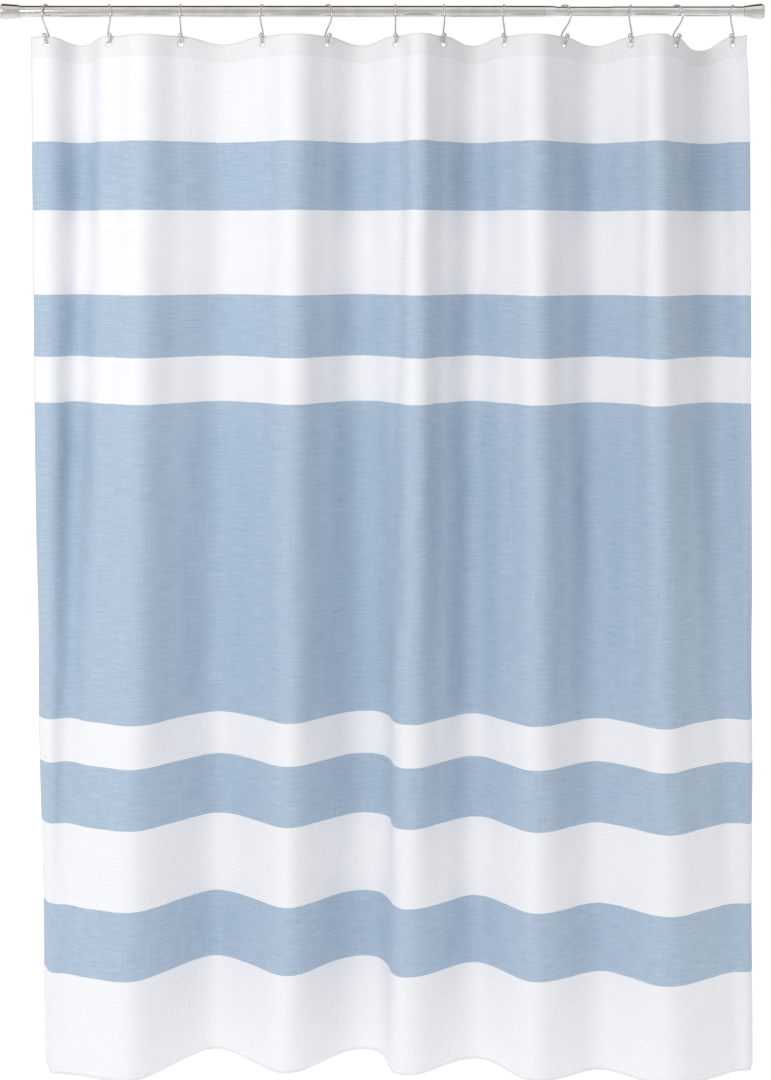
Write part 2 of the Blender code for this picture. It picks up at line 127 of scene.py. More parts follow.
class Finish:
    """One material, or the sky, and the one way that its nodes are added."""

    def __init__(self, name, tree=None):
        self.material = None if tree else bpy.data.materials.new(name)
        if self.material:
            self.material.use_nodes = True
        self.tree = tree or self.material.node_tree
        self.shader = self.tree.nodes.get("Principled BSDF")

    def node(self, kind, settings=None, inputs=None, output=0):
        """Add a node: its settings first, then the values or links of its sockets."""
        made = self.tree.nodes.new(kind)
        for key, value in (settings or {}).items():
            if key == "stops":
                ramp = made.color_ramp
                for index, (place, colour) in enumerate(value):
                    stop = ramp.elements[index] if index < 2 else ramp.elements.new(place)
                    stop.position, stop.color = place, colour
            else:
                setattr(made, key, value)
        for key, value in (inputs or {}).items():
            self.feed(made.inputs[key], value)
        return Flow(self, made.outputs[output])

    def feed(self, socket, value):
        """Link a flow to a socket, or set the socket's own value."""
        if isinstance(value, Flow):
            self.tree.links.new(value.socket, socket)
        else:
            socket.default_value = value

    def set(self, **values):
        """Feed the shader's sockets; an underscore in a key is a space in the socket's name."""
        for key, value in values.items():
            self.feed(self.shader.inputs[key.replace("_", " ")], value)
        return self

    def mix(self, share, first, second):
        """Colour mix of two colours or flows."""
        return self.node("ShaderNodeMix", {"data_type": "RGBA"},
                         {0: share, 6: first, 7: second}, 2)

    def parts(self, vector):
        """The three numbers of a vector."""
        split = self.node("ShaderNodeSeparateXYZ", None, {0: vector})
        return [Flow(self, out) for out in split.socket.node.outputs]

    def noise(self, vector, scale, detail=2.0, roughness=0.5):
        return self.node("ShaderNodeTexNoise", None, {
            "Vector": vector, "Scale": scale, "Detail": detail, "Roughness": roughness})

    def object_place(self):
        return self.node("ShaderNodeTexCoord", None, None, 3)

    def bump(self, height, distance, strength=1.0):
        return self.node("ShaderNodeBump", None, {
            "Height": height, "Distance": distance, "Strength": strength})


def surface(name, points, look, close_rows=False, close_columns=False, uv=None, merge=False):
    """A mesh over a grid of points, row by row.

    Vertex (i, j) is points[i, j]. Each face joins (i, j), (i, j+1), (i+1, j+1), (i+1, j), and the
    last row or column meets the first one where it is closed. uv is a grid of the same shape.
    """
    rows, columns = points.shape[:2]
    i = np.arange(rows if close_rows else rows - 1)[:, None]
    j = np.arange(columns if close_columns else columns - 1)[None, :]
    i_next, j_next = (i + 1) % rows, (j + 1) % columns
    faces = np.stack(np.broadcast_arrays(i * columns + j, i * columns + j_next,
                                         i_next * columns + j_next, i_next * columns + j), -1)
    faces = faces.reshape(-1, 4)
    mesh = bpy.data.meshes.new(name)
    mesh.from_pydata(points.reshape(-1, 3).tolist(), [], faces.tolist())
    if uv is not None:
        layer = mesh.uv_layers.new(name="cloth")
        layer.data.foreach_set("uv", uv.reshape(-1, 2)[faces.ravel()].ravel())
    if merge:
        body = bmesh.new()
        body.from_mesh(mesh)
        bmesh.ops.remove_doubles(body, verts=body.verts, dist=1e-7)
        bmesh.ops.recalc_face_normals(body, faces=body.faces)
        body.to_mesh(mesh)
        body.free()
    mesh.shade_smooth()
    mesh.materials.append(look)
    piece = bpy.data.objects.new(name, mesh)
    bpy.context.scene.collection.objects.link(piece)
    return piece


camera = bpy.data.objects.new("Camera", bpy.data.cameras.new("Camera"))
bpy.context.scene.collection.objects.link(camera)
camera.location = (CAMERA_SIDEWAYS, -CAMERA_DISTANCE, CAMERA_HEIGHT)
camera.rotation_euler = (math.radians(90 - CAMERA_PITCH_DEG), 0, 0)
camera.data.lens = CAMERA_LENS
camera.data.sensor_width = 36
camera.data.shift_y = CAMERA_SHIFT
bpy.context.scene.camera = camera
bpy.context.scene.view_settings.view_transform = "Standard"

floor_finish = Finish("studio_floor")
_, floor_depth, _ = floor_finish.parts(floor_finish.object_place())
floor_finish.set(Base_Color=FLOOR_COLOUR, Roughness=0.9, Emission_Strength=FLOOR_GLOW,
                 Emission_Color=floor_finish.mix(floor_depth.step_up(*FLOOR_FADE),
                                                 (*[FLOOR_GLOW_FRONT] * 3, 1.0),
                                                 (1.0, 1.0, 1.0, 1.0)))
turn, reach = np.meshgrid(np.linspace(0, math.tau, 64, endpoint=False), [0.0, 1.0],
                          indexing="ij")
floor_height = cad_low[2] - FLOOR_GAP
floor_points = np.stack((CAMERA_SIDEWAYS + FLOOR_RADIUS * reach * np.cos(turn),
                         FLOOR_RADIUS * reach * np.sin(turn),
                         np.full_like(turn, floor_height)), -1)
floor = surface("studio_floor", floor_points, floor_finish.material, close_rows=True, merge=True)

world = bpy.data.worlds.new("studio_sky")
bpy.context.scene.world = world
world.use_nodes = True
sky = Finish("sky", world.node_tree)
_, ahead, up = sky.parts(sky.node("ShaderNodeTexCoord", None, None, 0))
viewer_side = SKY_FRONT + (SKY_HIGH - SKY_FRONT) * up.step_up(0.25, 0.7)
panel = up.step_up(0.72, 0.84) * ahead.step_up(-0.22, -0.06) * (1 - ahead.step_up(0.5, 0.66))
brightness = (viewer_side + (1 - viewer_side) * ahead.step_up(-0.5, 0.1)) * (1 - SKY_PANEL * panel)
background = world.node_tree.nodes["Background"]
sky.feed(background.inputs["Color"], (1.0, 1.0, 1.0, 1.0))
sky.feed(background.inputs["Strength"], brightness)


def lamp(name, place, aim, size, power):
    """A square soft lamp that faces a point."""
    light = bpy.data.lights.new(name, "AREA")
    light.size, light.energy = size, power
    result = bpy.data.objects.new(name, light)
    bpy.context.scene.collection.objects.link(result)
    result.location = place
    way = np.subtract(aim, place)
    result.rotation_euler = (math.atan2(np.hypot(way[0], way[1]), -way[2]), 0,
                             math.atan2(way[1], way[0]) - math.pi / 2)
    return result


lamp("key_lamp", place=(-0.75, -2.3, 0.10), aim=(0.45, 0, -0.6), size=0.8, power=27)

# ---------------------------------------------------------------- rod
# The rod is drawn steel tube in bright nickel plate: a wide tube at the left, a thinner one that
# slides in it, and a thin wrapped sleeve on that one's outer end. A tapered collar is pressed on
# the mouth of the wide tube, and flared caps with rubber feet close both ends.
TURN_COUNT = 96
TUBE_WALL = 0.0008
SLEEVE_WALL = 0.0003
CAP_FLARE_RADIUS = 0.0141
CAP_FLOOR = 0.006
CAP_CLEARANCE = 0.0003
FOOT_EDGE = 0.0008


def nickel(name, tint=(0.70, 0.68, 0.65), roughness=0.11):
    """Bright nickel plate: fine draw lines and faint cloudiness in its polish."""
    made = Finish(name)
    x, y, z = made.parts(made.object_place())
    stretched = made.node("ShaderNodeCombineXYZ", None, {0: x * 6, 1: y * 400, 2: z * 400})
    lines = made.noise(stretched, 1.0, 3.0, 0.6)
    clouds = made.noise(made.object_place(), 38.0, 3.0)
    dark = tuple(0.86 * value for value in tint) + (1.0,)
    made.set(Metallic=1.0, Base_Color=made.mix(clouds.step_up(0.35, 0.7), (*tint, 1.0), dark),
             Roughness=roughness - 0.03 + clouds * 0.08,
             Normal=made.bump(lines, 0.00002, 0.35))
    return made.material


def turned(name, profile, look):
    """A turned piece about the rod's axis.

    The profile is a closed run of (along, radius), and point (i, j) is profile[i] turned by
    angle j: (along, radius * cos(angle), radius * sin(angle)). Short edges carry the corners.
    """
    profile = np.asarray(profile, float)
    angle = np.arange(TURN_COUNT) * math.tau / TURN_COUNT
    points = np.stack((np.repeat(profile[:, :1], TURN_COUNT, 1),
                       profile[:, 1:] * np.cos(angle), profile[:, 1:] * np.sin(angle)), -1)
    piece = surface(name, points, look, close_rows=True, close_columns=True, merge=True)
    piece.data.set_sharp_from_angle(angle=math.radians(40))
    return piece


def extent(node):
    """Start, end and largest radius of a turned node."""
    low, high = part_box(node)
    return low.x, high.x, high.z


def rounded_tube(start, end, radius, wall, edge=0.0003):
    """Closed profile of a tube whose mouths have a small rounded edge."""
    inner = radius - wall
    edge = min(edge, wall * 0.45)
    return [(start, inner + edge), (start, radius - edge), (start + edge, radius),
            (end - edge, radius), (end, radius - edge), (end, inner + edge),
            (end - edge, inner), (start + edge, inner)]


rod_nickel = nickel("nickel_tube")
sleeve_nickel = nickel("nickel_sleeve", (0.76, 0.745, 0.72), 0.11)

for node, wall, look, body in (("outer_tube", TUBE_WALL, rod_nickel, "rod_outer"),
                               ("inner_tube", TUBE_WALL, rod_nickel, "rod_inner"),
                               ("inner_sleeve", SLEEVE_WALL, sleeve_nickel, "rod_inner")):
    start, end, radius = extent(node)
    piece = turned(f"{node}_plated", rounded_tube(start, end, radius, wall), look)
    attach(piece, body)
    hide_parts(node)

inner_radius = extent("inner_tube")[2]
start, end, radius = extent("tube_collar")
bore = inner_radius + CAP_CLEARANCE
share = np.linspace(0, 1, 14)
taper = radius - 0.0002 - (radius - bore - 0.0009) * share**2 * (3 - 2 * share)
collar = turned("tube_collar_plated",
                [(start, bore), (start, radius - 0.0002), (start + 0.0002, radius)]
                + list(zip(start + 0.004 + (end - start - 0.0045) * share, taper))
                + [(end, bore + 0.0004), (end, bore)], sleeve_nickel)
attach(collar, "rod_outer")
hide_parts("tube_collar")


def flared_cap(side, tube_radius):
    """Closed profile of a cap: a bell that narrows from the wall to a beaded mouth."""
    start, end, _ = extent(f"end_cap_{side}")
    length = end - start
    socket = tube_radius + CAP_CLEARANCE
    mouth = socket + 0.0012
    share = np.linspace(0, 1, 22)
    bell = CAP_FLARE_RADIUS - 0.0003 - (CAP_FLARE_RADIUS - 0.0003 - mouth) * (
        share**1.6 * (1.6 - 0.6 * share))
    profile = [(0, 0), (0, CAP_FLARE_RADIUS - 0.0012), (0.0004, CAP_FLARE_RADIUS - 0.0004),
               (0.0012, CAP_FLARE_RADIUS)]
    profile += list(zip(0.0028 + (length - 0.0048) * share, bell))
    profile += [(length - 0.0012, mouth), (length - 0.0003, mouth - 0.0003),
                (length, mouth - 0.0008), (length, socket), (CAP_FLOOR, socket), (CAP_FLOOR, 0)]
    if side == "left":
        return [(start + along, radius) for along, radius in profile]
    return [(end - along, radius) for along, radius in profile]


rubber = Finish("foot_rubber")
grain = rubber.noise(rubber.object_place(), 900.0, 3.0)
rubber.set(Base_Color=rubber.mix(grain, (0.62, 0.62, 0.60, 1.0), (0.74, 0.74, 0.72, 1.0)),
           Roughness=0.7 + 0.15 * grain, Normal=rubber.bump(grain, 0.0001, 0.4))

for side, body, tube_node in (("left", "rod_outer", "outer_tube"),
                              ("right", "rod_inner", "inner_tube")):
    cap = turned(f"end_cap_{side}_plated", flared_cap(side, extent(tube_node)[2]), rod_nickel)
    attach(cap, body)
    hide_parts(f"end_cap_{side}")
    start, end, radius = extent(f"rubber_foot_{side}")
    foot = turned(f"rubber_foot_{side}_moulded",
                  [(start, 0), (start, radius - FOOT_EDGE),
                   (start + FOOT_EDGE * 0.3, radius - 0.0002),
                   (start + FOOT_EDGE, radius), (end - FOOT_EDGE, radius),
                   (end - FOOT_EDGE * 0.3, radius - 0.0002), (end, radius - FOOT_EDGE), (end, 0)],
                  rubber.material)
    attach(foot, body)
    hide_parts(f"rubber_foot_{side}")

# ---------------------------------------------------------------- lock inside the rod
# A moulded plug fills the mouth of the inner tube, with a steel spindle, a nut and a spring
# behind it. None of it shows unless the rod is drawn apart, so the modelled pieces stay.
plastic = Finish("lock_plastic")
moulding = plastic.noise(plastic.object_place(), 600.0, 4.0)
plastic.set(Base_Color=plastic.mix(moulding, (0.10, 0.10, 0.11, 1.0), (0.15, 0.15, 0.16, 1.0)),
            Roughness=0.42 + 0.2 * moulding, Normal=plastic.bump(moulding, 0.00005, 0.5))
steel = nickel("spring_steel", (0.50, 0.50, 0.51), 0.32)
for node, look in (("lock_plug", plastic.material), ("spindle_nut", plastic.material),
                   ("lock_spindle", steel), ("tension_spring", steel)):
    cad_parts[node].data.materials.clear()
    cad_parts[node].data.materials.append(look)

# ---------------------------------------------------------------- hooks
# Each hook is one length of round steel wire, bent over the rod, down behind the cloth and
# forward through an eyelet, then plated. A bead is pressed on its free end. All twelve are the
# same and hang turned by different amounts.
HOOK_FIRST = 0.081
HOOK_GAPS = (0.108, 0.126, 0.142, 0.113, 0.119, 0.084, 0.106, 0.104, 0.117, 0.078, 0.099)
HOOK_YAW_DEG = (-18, 18, 0, -10, 30, 0, 5, -12, 38, -18, 36, -22)
HOOK_COUNT = len(HOOK_GAPS) + 1
HOOK_X = [HOOK_FIRST + sum(HOOK_GAPS[:i]) for i in range(HOOK_COUNT)]
WIRE_RADIUS = 0.0015
LOOP_RADIUS = 0.016
LOOP_BACK_DEG = 4
LOOP_FRONT_DEG = 200
EYE_RADIUS = 0.0085
HOOK_DROP = 0.0655
BALL_RADIUS = 0.0045
BALL_RISE = 0.013
WIRE_SIDES = 16


def hook_path():
    """Centre line of a hook's wire as (depth, height).

    An arc over the rod, a cubic Bezier stem that leaves it along its tangent, a half circle
    under the eyelet and a straight end that stands in the bead.
    """
    arc = LOOP_RADIUS + WIRE_RADIUS
    angle = np.radians(np.linspace(LOOP_BACK_DEG, LOOP_FRONT_DEG, 44))
    loop = np.column_stack((arc * np.cos(angle), arc * np.sin(angle) - LOOP_RADIUS))
    eye_height = EYE_RADIUS - HOOK_DROP
    bend = np.radians(np.linspace(0, -180, 32))
    eye = np.column_stack((EYE_RADIUS * np.cos(bend), EYE_RADIUS * np.sin(bend) + eye_height))
    leaving = math.radians(LOOP_FRONT_DEG + 90)
    hand = 0.4 * (loop[-1, 1] - eye_height)
    corners = (loop[-1], loop[-1] + hand * np.array((math.cos(leaving), math.sin(leaving))),
               eye[0] + np.array((0, hand)), eye[0])
    u = np.linspace(0, 1, 26)[1:-1, None]
    stem = (corners[0] * (1 - u)**3 + corners[1] * 3 * u * (1 - u)**2
            + corners[2] * 3 * u**2 * (1 - u) + corners[3] * u**3)
    tip = np.array([(-EYE_RADIUS, BALL_RISE - HOOK_DROP)])
    return np.vstack((loop, stem, eye, tip))


def round_wire(path, radius, sides=WIRE_SIDES):
    """A circle carried along a flat path, closed by domed ends.

    Ring i is path[i] + r * (cos a * normal + sin a * across), where normal is the tangent turned
    a quarter in the path's own plane, across is the plane's axis, and r falls to nothing at
    the ends. Points come out as (across, depth, height).
    """
    tangent = np.gradient(path, axis=0)
    tangent /= np.linalg.norm(tangent, axis=1)[:, None]
    dome = np.radians((0, 25, 50, 75))
    first = path[:1] - tangent[:1] * (radius * np.cos(dome)[:, None])
    last = path[-1:] + tangent[-1:] * (radius * np.cos(dome[::-1])[:, None])
    centre = np.vstack((first, path, last))
    tangent = np.vstack((np.repeat(tangent[:1], 4, 0), tangent, np.repeat(tangent[-1:], 4, 0)))
    ring = radius * np.concatenate((np.sin(dome), np.ones(len(path)), np.sin(dome[::-1])))
    normal = np.column_stack((-tangent[:, 1], tangent[:, 0]))
    angle = np.arange(sides) * math.tau / sides
    side = ring[:, None] * np.sin(angle)
    flat = centre[:, None, :] + (ring[:, None] * np.cos(angle))[..., None] * normal[:, None, :]
    return np.dstack((side, flat))


def stand(points, hook):
    """Put points of (across, depth, height) where a hook hangs: turned by its yaw, then seated."""
    yaw = math.radians(HOOK_YAW_DEG[hook])
    across, depth, height = points[..., 0], points[..., 1], points[..., 2]
    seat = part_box(f"hook_wire_{hook + 1:02d}")[1].z - 2 * WIRE_RADIUS
    return np.stack((HOOK_X[hook] + across * math.cos(yaw) - depth * math.sin(yaw),
                     across * math.sin(yaw) + depth * math.cos(yaw), height + seat), -1)


def ball(radius, centre, count=24):
    """Points on a sphere about a centre: latitude by row and longitude by column."""
    tilt = np.linspace(0, math.pi, count // 2 + 1)[:, None]
    angle = np.arange(count) * math.tau / count
    return np.asarray(centre) + radius * np.stack(
        (np.sin(tilt) * np.cos(angle), np.sin(tilt) * np.sin(angle),
         np.cos(tilt) * np.ones(count)), -1)


def hook_body(hook):
    """The last hook is fixed to the curtain, and the others ride on their own bodies."""
    return "curtain" if hook == HOOK_COUNT - 1 else f"hook_{hook + 1:02d}"


hook_nickel = nickel("nickel_wire", (0.60, 0.59, 0.58), 0.16)
wire_points = round_wire(hook_path(), WIRE_RADIUS)
ball_points = ball(BALL_RADIUS, (0, -EYE_RADIUS, BALL_RISE - HOOK_DROP))
for hook in range(HOOK_COUNT):
    number = f"{hook + 1:02d}"
    for kind, points in (("wire", wire_points), ("ball", ball_points)):
        piece = surface(f"hook_{kind}_{number}_plated", stand(points, hook), hook_nickel,
                        close_columns=True, merge=True)
        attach(piece, hook_body(hook))
        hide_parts(f"hook_{kind}_{number}")

# ---------------------------------------------------------------- curtain cloth
# One width of woven cotton blend, cut 72 by 72 inches: white waffle stripes and plain blue
# stripes woven in one piece, with every seam turned to the back. Gathered on its hooks it takes
# folds that open out and wander on their way down to the hem.
CLOTH_WIDTH = 1.829
CLOTH_HEIGHT = 1.829
CLOTH_THICKNESS = 0.0010
EDGE_MARGIN = 0.038
EYELET_DROP = 0.014
EYELET_RADIUS = 0.0050
HEADER_HEIGHT = 0.037
HEADER_LAYER = 0.0013         # from the middle of the cloth to the middle of its turned-in header
FOLDED_THICKNESS = 0.0008     # of the header's and hems' inner layer
HEADING_DEG = 42
SKEW_DEG = 22
FOLD_DEPTH_SHARE = 0.465
DROOP = 0.012
DROOP_FADE = 0.060
LAST_DROOP = 1.65             # the last bay sinks this many times as far
EDGE_TOP_LEFT = (-0.030, 0.022)
EDGE_TOP_RIGHT = (0.018, -0.030)
EDGE_TURN_DEG = (-52, -66)
HEM_EDGE_LEFT = (0.061, 0.032)
HEM_TURNS = (
    (0.091, -0.031, 0.065), (0.213, -0.073, 0.143), (0.360, 0.092, 0.130), (0.494, -0.031, 0.124),
    (0.634, 0.087, 0.182), (0.706, -0.041, 0.143), (0.831, 0.042, 0.124), (0.939, -0.069, 0.124),
    (1.053, -0.011, 0.104), (1.171, -0.092, 0.130), (1.307, -0.016, 0.078),
)
WALL_CLEARANCE = 0.003        # the cloth stops this far short of the wall
HEM_EDGE_RIGHT = (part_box("rubber_foot_right")[1].x - WALL_CLEARANCE, 0.017)
FOLD_BLEND = 1.25
EDGE_BLEND_LEFT = 2.0
EDGE_BLEND_RIGHT = 0.5
BAY = (CLOTH_WIDTH - 2 * EDGE_MARGIN) / (HOOK_COUNT - 1)
HALF_BAY = 10                 # columns of the mesh in half a bay
EDGE_COLUMNS = 8              # columns between a side edge and its first eyelet
CLOTH_ROWS = 190
UNEVENNESS = 0.0045           # greatest depth of the cloth's small waves
UNEVEN_FADE = 0.25            # height below the header over which they build up
PINCH_HOOK = 5                # the fold under this hook nearly overlaps itself
PINCH_SPREAD = 4.0            # columns to each side that the pinch moves most
PINCH_DROPS = (0.30, 0.80, 1.20, 1.28, 1.39, 1.50, 1.65)      # below the top edge
PINCH_REACH = (0.0, 0.0040, 0.0044, 0.0049, 0.0060, 0.0020, 0.0009)     # how far, there
STRIPE_EDGES = (0.183, 0.303, 0.451, 0.560, 0.641, 1.202, 1.279, 1.388, 1.531, 1.653)
WAFFLE_PITCH = 0.0046
THREAD_PITCH = 0.0011
WHITE = (0.865, 0.868, 0.893, 1.0)
# painted shade: the white darkened along the low lines between the waffle's cells
WHITE_PAINTED_SHADE = (0.805, 0.808, 0.835, 1.0)
HEADER_TONE = (0.785, 0.785, 0.795, 1.0)    # the doubled header is plain, and a little greyer
BLUE = (0.460, 0.560, 0.668, 1.0)
BLUE_DARK = (0.345, 0.445, 0.568, 1.0)


def hermite(start, start_pull, end, end_pull, shares):
    """Cubic run between two plan points that leaves and arrives along the given pulls."""
    u = np.asarray(shares)[:, None]
    start, start_pull, end, end_pull = (np.asarray(value, float)
                                        for value in (start, start_pull, end, end_pull))
    return (start * (2 * u**3 - 3 * u**2 + 1) + start_pull * (u**3 - 2 * u**2 + u)
            + end * (3 * u**2 - 2 * u**3) + end_pull * (u**3 - u**2))


def heading(turn_deg, pull):
    """A pull of the given size along a plan heading, measured from +X towards +Y."""
    turn = math.radians(turn_deg)
    return (pull * math.cos(turn), pull * math.sin(turn))


def hook_heading(hook):
    """Plan heading of the cloth at a hook: to the back and to the front in turn."""
    side = 1 if hook % 2 == 0 else -1
    return side * min(HEADING_DEG, SKEW_DEG + side * HOOK_YAW_DEG[hook])


def header_line():
    """Plan of the cloth at its hooks: two cubic runs to each bay, which meet at its crest."""
    pull = BAY / 2
    run = np.arange(HALF_BAY) / HALF_BAY
    edge = np.arange(EDGE_COLUMNS) / EDGE_COLUMNS
    parts = [hermite(np.add((HOOK_X[0], 0), EDGE_TOP_LEFT), heading(EDGE_TURN_DEG[0], EDGE_MARGIN),
                     (HOOK_X[0], 0), heading(hook_heading(0), EDGE_MARGIN), edge)]
    for bay, span in enumerate(HOOK_GAPS):
        side = 1 if bay % 2 == 0 else -1
        depth = side * FOLD_DEPTH_SHARE * math.sqrt(max(BAY**2 - span**2, (BAY / 8) ** 2))
        left, right = (HOOK_X[bay], 0), (HOOK_X[bay + 1], 0)
        crest = (HOOK_X[bay] + span / 2, depth)
        parts.append(hermite(left, heading(hook_heading(bay), pull), crest, (pull, 0), run))
        parts.append(hermite(crest, (pull, 0), right, heading(hook_heading(bay + 1), pull), run))
    parts.append(hermite((HOOK_X[-1], 0), heading(hook_heading(HOOK_COUNT - 1), EDGE_MARGIN),
                         np.add((HOOK_X[-1], 0), EDGE_TOP_RIGHT),
                         heading(EDGE_TURN_DEG[1], EDGE_MARGIN),
                         np.arange(EDGE_COLUMNS + 1) / EDGE_COLUMNS))
    return np.vstack(parts)


def hem_line():
    """Plan of the cloth at its bottom hem, with the same columns as the header's line."""
    turns = [((x, y), (pull, 0)) for x, y, pull in HEM_TURNS]
    end_run = EDGE_COLUMNS + HALF_BAY
    parts = [hermite(HEM_EDGE_LEFT, np.subtract(HEM_TURNS[0][:2], HEM_EDGE_LEFT), *turns[0],
                     np.arange(end_run) / end_run)]
    for first, second in zip(turns, turns[1:]):
        parts.append(hermite(*first, *second, np.arange(2 * HALF_BAY) / (2 * HALF_BAY)))
    parts.append(hermite(*turns[-1], HEM_EDGE_RIGHT,
                         np.subtract(HEM_EDGE_RIGHT, HEM_TURNS[-1][:2]),
                         np.arange(end_run + 1) / end_run))
    return np.vstack(parts)


EYELET_COLUMNS = [EDGE_COLUMNS + 2 * HALF_BAY * hook for hook in range(HOOK_COUNT)]
PLAN_HEADER, PLAN_HEM = header_line(), hem_line()
COLUMN_COUNT = len(PLAN_HEADER)
eyelet_heights = [np.mean([corner.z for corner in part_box(f"eyelet_stitching_{hook + 1:02d}")])
                  for hook in range(HOOK_COUNT)]
TOP_EDGE = np.interp(np.arange(COLUMN_COUNT), EYELET_COLUMNS, eyelet_heights) + EYELET_DROP
DROOP_SHARE = np.zeros(COLUMN_COUNT)
for bay in range(0, HOOK_COUNT - 1, 2):
    inside = np.arange(EYELET_COLUMNS[bay], EYELET_COLUMNS[bay + 1] + 1)
    DROOP_SHARE[inside] = np.sin(math.pi * np.linspace(0, 1, len(inside)))**2
DROOP_SHARE[EYELET_COLUMNS[-2]:] *= LAST_DROOP


left_share = np.clip((HOOK_X[1] - PLAN_HEADER[:, 0]) / (HOOK_X[1] - PLAN_HEADER[0, 0]), 0, 1)
right_share = np.clip((PLAN_HEADER[:, 0] - HOOK_X[-2]) / (PLAN_HEADER[-1, 0] - HOOK_X[-2]), 0, 1)
BLEND_POWERS = (FOLD_BLEND + (EDGE_BLEND_LEFT - FOLD_BLEND) * left_share
                + (EDGE_BLEND_RIGHT - FOLD_BLEND) * right_share)


def flat_across():
    """Flat distance of each column from the left side edge."""
    marks = [0, *EYELET_COLUMNS, COLUMN_COUNT - 1]
    flat = [0, *(EDGE_MARGIN + BAY * np.arange(HOOK_COUNT)), CLOTH_WIDTH]
    return np.interp(np.arange(COLUMN_COUNT), marks, flat)


FLAT_ACROSS = flat_across()


def crumple(across, drop):
    """Depth of the cloth's small unevenness at a flat place, from a sum of slanted waves."""
    random = np.random.RandomState(12)
    total = np.zeros(np.broadcast(across, drop).shape)
    for _ in range(34):
        length = random.uniform(0.05, 0.32)
        slant = random.normal(0, 0.55)
        phase = random.uniform(0, math.tau)
        total += length * np.sin(math.tau * (across + slant * drop * 0.5) / length + phase) * (
            np.sin(math.tau * drop / random.uniform(0.35, 1.6) + random.uniform(0, math.tau)))
    return total / np.abs(total).max()


def cloth_points(drops, offset=0.0, columns=slice(None)):
    """Places of the cloth, one row for each flat distance below its top edge.

    The plan line goes over from the header's to the hem's with the drop to the power of
    BLEND_POWERS. The pinch draws both sides of one fold together by r * a * exp((1 - a^2) / 2),
    a being the columns away from it over its spread. Small unevenness and a layer's offset move
    each point along the line's normal.
    """
    drop = np.asarray(drops, float)[:, None]
    blend = (np.maximum(drop - HEADER_HEIGHT, 0) / (CLOTH_HEIGHT - HEADER_HEIGHT))**BLEND_POWERS
    line = PLAN_HEADER * (1 - blend[..., None]) + PLAN_HEM * blend[..., None]
    away = (np.arange(COLUMN_COUNT) - EYELET_COLUMNS[PINCH_HOOK]) / PINCH_SPREAD
    pinch = np.interp(drop, PINCH_DROPS, PINCH_REACH) * away * np.exp((1 - away**2) / 2)
    line[..., 0] -= pinch
    along = np.gradient(line, axis=1)
    along /= np.linalg.norm(along, axis=2)[..., None]
    normal = np.dstack((-along[..., 1], along[..., 0]))
    easing = np.clip((drop - HEADER_HEIGHT) / UNEVEN_FADE, 0, 1)
    uneven = UNEVENNESS * easing * crumple(FLAT_ACROSS, drop)
    line = line + normal * (offset + uneven)[..., None]
    sink = DROOP * DROOP_SHARE * np.exp(-drop / DROOP_FADE)
    return np.dstack((line, TOP_EDGE - drop - sink))[:, columns]


def flat_places(drops, columns=slice(None)):
    """The cloth's flat coordinates over the same grid: across, and up from the hem."""
    across, drop = np.meshgrid(FLAT_ACROSS[columns], np.asarray(drops, float))
    return np.dstack((across, CLOTH_HEIGHT - drop))


def striped_cloth(name):
    """Waffle weave in the white stripes, with painted shade along the low lines between its cells,
    and plain weave with uneven threads in the blue ones.
    """
    made = Finish(name)
    place = made.node("ShaderNodeUVMap", {"uv_map": "cloth"})
    across, rise, _ = made.parts(place)
    drop = CLOTH_HEIGHT - rise
    waver = (made.noise(place, 60.0, 2.0) - 0.5) * 0.0016
    blue = 0.0
    for index, edge in enumerate(STRIPE_EDGES):
        past = (drop + waver).step_up(edge - 0.0006, edge + 0.0006)
        blue = past * (1 if index % 2 == 0 else -1) + blue
    cell = math.tau / (2 * WAFFLE_PITCH)
    ridge_across = (across * cell).sine().size()
    ridge_down = (drop * cell).sine().size()
    waffle = ridge_across.lesser(ridge_down)
    threads = (across * (math.tau / THREAD_PITCH)).sine() * 0.5 + (
        drop * (math.tau / THREAD_PITCH)).sine() * 0.5
    slub_place = made.node("ShaderNodeCombineXYZ", None, {0: across * 22, 1: drop * 430})
    slub = made.noise(slub_place, 1.0, 4.0, 0.7)
    warp_place = made.node("ShaderNodeCombineXYZ", None, {0: across * 600, 1: drop * 12})
    warp = made.noise(warp_place, 1.0, 2.0, 0.6)
    doubled = 1 - drop.step_up(HEADER_HEIGHT - 0.001, HEADER_HEIGHT + 0.001)
    waffle = waffle * (1 - doubled)
    # painted shade: the low lines between the waffle's cells get the darker white, beside their
    # real bump
    white = made.mix(doubled, made.mix(waffle.step_up(0.1, 0.75), WHITE_PAINTED_SHADE, WHITE), HEADER_TONE)
    colour_play = slub * 0.75 + warp * 0.25
    blue_colour = made.mix(colour_play.step_up(0.34, 0.68), BLUE_DARK, BLUE)
    height = waffle * (1 - blue) * 1.3 + (threads * 0.12 + slub * 0.35) * blue
    made.set(Base_Color=made.mix(blue, white, blue_colour),
             Roughness=0.86 + 0.08 * colour_play, Normal=made.bump(height, 0.0005, 0.55))
    made.shader.inputs["Sheen Weight"].default_value = 0.12
    made.shader.inputs["Sheen Roughness"].default_value = 0.5
    made.shader.inputs["Specular IOR Level"].default_value = 0.2
    return made.material


def settle(piece):
    """Apply every modifier of a piece, so that its mesh is final."""
    graph = bpy.context.evaluated_depsgraph_get()
    final = bpy.data.meshes.new_from_object(piece.evaluated_get(graph))
    piece.modifiers.clear()
    piece.data = final


def thicken(piece, thickness):
    """Give a sheet its thickness, evenly to both sides."""
    layer = piece.modifiers.new("Thickness", "SOLIDIFY")
    layer.thickness, layer.offset = thickness, 0
    settle(piece)


def eyelet_place(hook):
    """Centre of an eyelet, and the cloth's heading there."""
    row = cloth_points([EYELET_DROP], HEADER_LAYER / 2)[0]
    column = EYELET_COLUMNS[hook]
    along = row[column + 1] - row[column - 1]
    along[2] = 0
    return row[column], along / np.linalg.norm(along)


